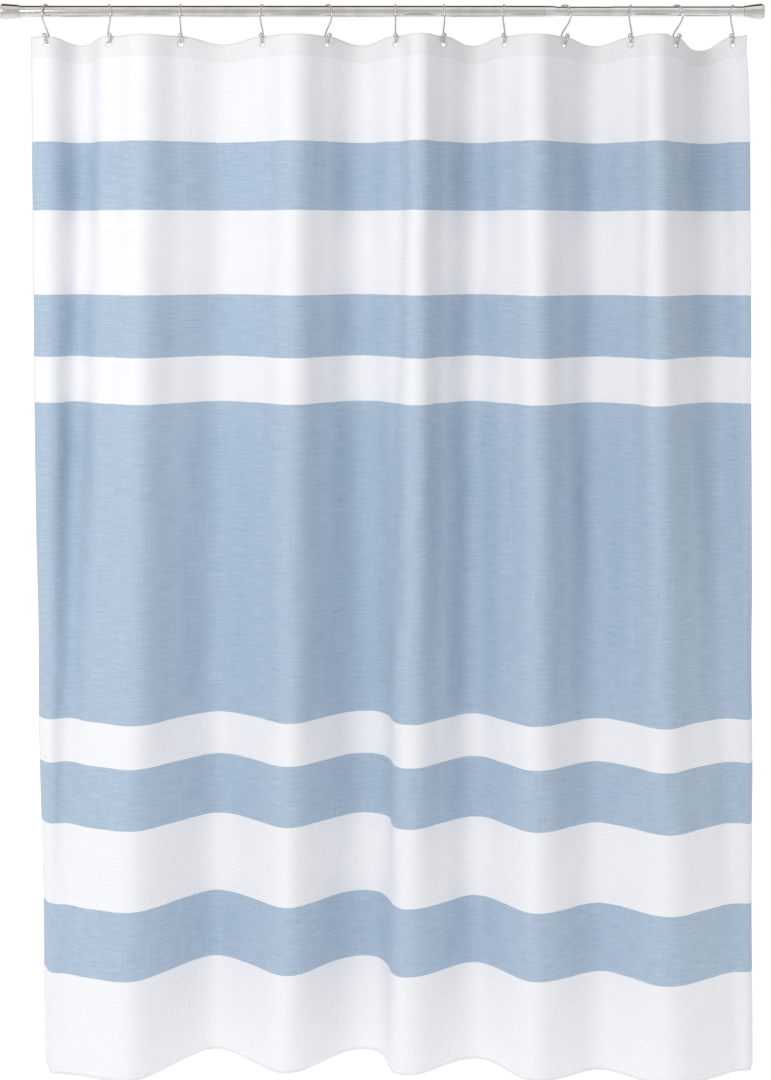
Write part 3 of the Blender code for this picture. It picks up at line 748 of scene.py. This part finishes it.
def pierce(piece):
    """Cut the twelve eyelet holes with twelve short round bars, one after another."""
    bars = []
    for hook in range(HOOK_COUNT):
        centre, along = eyelet_place(hook)
        through = np.array((along[1], -along[0], 0.0))
        angle = np.arange(20) * math.tau / 20
        rim = (EYELET_RADIUS + 0.0004) * (np.cos(angle)[:, None] * along
                                         + np.sin(angle)[:, None] * np.array((0, 0, 1.0)))
        ends = [centre + through * shift for shift in (-0.006, 0.006)]
        bars.append(np.stack((np.repeat(ends[0][None], 20, 0), ends[0] + rim, ends[1] + rim,
                              np.repeat(ends[1][None], 20, 0))))
    tools = [surface(f"eyelet_bar_{hook}", points, piece.data.materials[0], close_columns=True,
                     merge=True) for hook, points in enumerate(bars)]
    for tool in tools:
        hole = piece.modifiers.new("Hole", "BOOLEAN")
        hole.operation, hole.solver, hole.object = "DIFFERENCE", "EXACT", tool
        settle(piece)
        bpy.data.objects.remove(tool)


def hang(piece, *nodes):
    """Cloth rides on the curtain's body with a mesh of its own, and the given modelled pieces are
    hidden.
    """
    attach(piece, "curtain")
    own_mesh(piece)
    if nodes:
        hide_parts(*nodes)


cloth_finish = striped_cloth("striped_cotton")
drops = np.concatenate((np.linspace(0, HEADER_HEIGHT, 9)[:-1],
                        np.linspace(HEADER_HEIGHT, CLOTH_HEIGHT, CLOTH_ROWS)))
curtain = surface("curtain_cloth", cloth_points(drops)[::-1], cloth_finish,
                  uv=flat_places(drops)[::-1])
thicken(curtain, CLOTH_THICKNESS)
pierce(curtain)
hang(curtain, "curtain_panel")

# ---------------------------------------------------------------- header and hems
# The header is a strip of the same cloth doubled behind the top edge and stitched down along its
# lower side. The side edges and the bottom are turned in narrow and stitched in the same way.
SIDE_HEM = 0.010
BOTTOM_HEM = 0.014

header_drops = np.linspace(0.0004, HEADER_HEIGHT, 10)
header = surface("header_strip", cloth_points(header_drops, HEADER_LAYER)[::-1], cloth_finish,
                 uv=flat_places(header_drops)[::-1])
thicken(header, FOLDED_THICKNESS)
pierce(header)
hang(header, "header_band")


def add_hem(name, hem_drops, columns):
    """A narrow turned-in strip behind the cloth."""
    hem = surface(name, cloth_points(hem_drops, HEADER_LAYER, columns)[::-1], cloth_finish,
                  uv=flat_places(hem_drops, columns)[::-1])
    thicken(hem, FOLDED_THICKNESS)
    hang(hem)


hem_columns = int(np.searchsorted(FLAT_ACROSS, SIDE_HEM)) + 1
side_drops = np.linspace(HEADER_HEIGHT + 0.002, CLOTH_HEIGHT - BOTTOM_HEM - 0.001, 120)
add_hem("side_hem_left", side_drops, slice(0, hem_columns))
add_hem("side_hem_right", side_drops, slice(COLUMN_COUNT - hem_columns, COLUMN_COUNT))
add_hem("bottom_hem", np.linspace(CLOTH_HEIGHT - BOTTOM_HEM, CLOTH_HEIGHT - 0.0004, 5), slice(None))

# ---------------------------------------------------------------- eyelets and stitches
# Each eyelet is worked round with close white thread, and a line of lock stitches holds the
# header. The thread is the same in both.
STITCH_RADIUS = 0.00035
STITCH_LENGTH = 0.0028
STITCH_PITCH = 0.0038

thread = Finish("white_thread")
twist = thread.noise(thread.object_place(), 1500.0, 2.0)
thread.set(Base_Color=thread.mix(twist, (0.74, 0.74, 0.75, 1.0), (0.84, 0.84, 0.85, 1.0)),
           Roughness=0.8 + 0.1 * twist, Normal=thread.bump(twist, 0.0001, 0.5))


def worked_ring(hook):
    """A torus of thread round an eyelet, swelling with each stitch.

    Its centre line is centre + R * (cos a * along + sin a * up), and its section's radius is
    r * (1 + 0.16 * cos(30 a)), flattened across the cloth.
    """
    centre, along = eyelet_place(hook)
    through = np.array((along[1], -along[0], 0.0))
    around = (np.arange(120) * math.tau / 120)[:, None]
    section = np.arange(10) * math.tau / 10
    radius = 0.00075 * (1 + 0.16 * np.cos(30 * around))
    outward = np.cos(around) * along + np.sin(around) * np.array((0, 0, 1.0))
    return (centre + outward[:, None, :] * (EYELET_RADIUS + 0.0003
                                           + radius * np.cos(section))[..., None]
            + through * (1.9 * radius * np.sin(section))[..., None])


for hook in range(HOOK_COUNT):
    number = f"{hook + 1:02d}"
    ring = surface(f"eyelet_thread_{number}", worked_ring(hook), thread.material,
                   close_rows=True, close_columns=True, merge=True)
    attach(ring, hook_body(hook))
    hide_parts(f"eyelet_stitching_{number}")


def stitch_run(name, row, side):
    """A line of short stitches on one face of the cloth along a row of its points.

    Each stitch is a spindle of six-sided rings: its radius is r * sqrt(sin(pi t)) over its length.
    """
    length = np.concatenate(([0], np.cumsum(np.linalg.norm(np.diff(row, axis=0), axis=1))))
    starts = np.arange(0.004, length[-1] - 0.008, STITCH_PITCH)
    t = np.array((0, 0.15, 0.5, 0.85, 1.0))
    at = starts[:, None] + STITCH_LENGTH * t
    centre = np.stack([np.interp(at, length, row[:, axis]) for axis in range(3)], -1)
    ahead = centre[:, -1:] - centre[:, :1]
    ahead /= np.linalg.norm(ahead, axis=-1)[..., None]
    face = np.stack((ahead[..., 1], -ahead[..., 0], np.zeros(ahead.shape[:-1])), -1)
    face /= np.linalg.norm(face, axis=-1)[..., None]
    rise = np.cross(ahead, face)
    angle = np.arange(6) * math.tau / 6
    radius = STITCH_RADIUS * np.sqrt(np.sin(math.pi * t))
    ring = (centre + face * side)[:, :, None, :] + radius[None, :, None, None] * (
        np.cos(angle)[:, None] * face[:, :, None, :] + np.sin(angle)[:, None] * rise[:, :, None, :])
    count = len(starts)
    i, j, k = np.meshgrid(np.arange(count), np.arange(4), np.arange(6), indexing="ij")
    base, after = (i * 5 + j) * 6, (i * 5 + j + 1) * 6
    faces = np.stack((base + k, base + (k + 1) % 6, after + (k + 1) % 6, after + k), -1)
    mesh = bpy.data.meshes.new(name)
    mesh.from_pydata(ring.reshape(-1, 3).tolist(), [], faces.reshape(-1, 4).tolist())
    body = bmesh.new()
    body.from_mesh(mesh)
    bmesh.ops.remove_doubles(body, verts=body.verts, dist=1e-7)
    bmesh.ops.recalc_face_normals(body, faces=body.faces)
    body.to_mesh(mesh)
    body.free()
    mesh.materials.append(thread.material)
    piece = bpy.data.objects.new(name, mesh)
    bpy.context.scene.collection.objects.link(piece)
    hang(piece)
    return piece


stitches = [stitch_run("header_stitches", cloth_points([HEADER_HEIGHT - 0.003])[0],
                       CLOTH_THICKNESS / 2),
            stitch_run("bottom_stitches", cloth_points([CLOTH_HEIGHT - BOTTOM_HEM + 0.002])[0],
                       CLOTH_THICKNESS / 2)]
for side, column in (("left", hem_columns - 1), ("right", COLUMN_COUNT - hem_columns)):
    run = cloth_points(side_drops)[:, column]
    stitches.append(stitch_run(f"side_stitches_{side}", run, CLOTH_THICKNESS / 2))
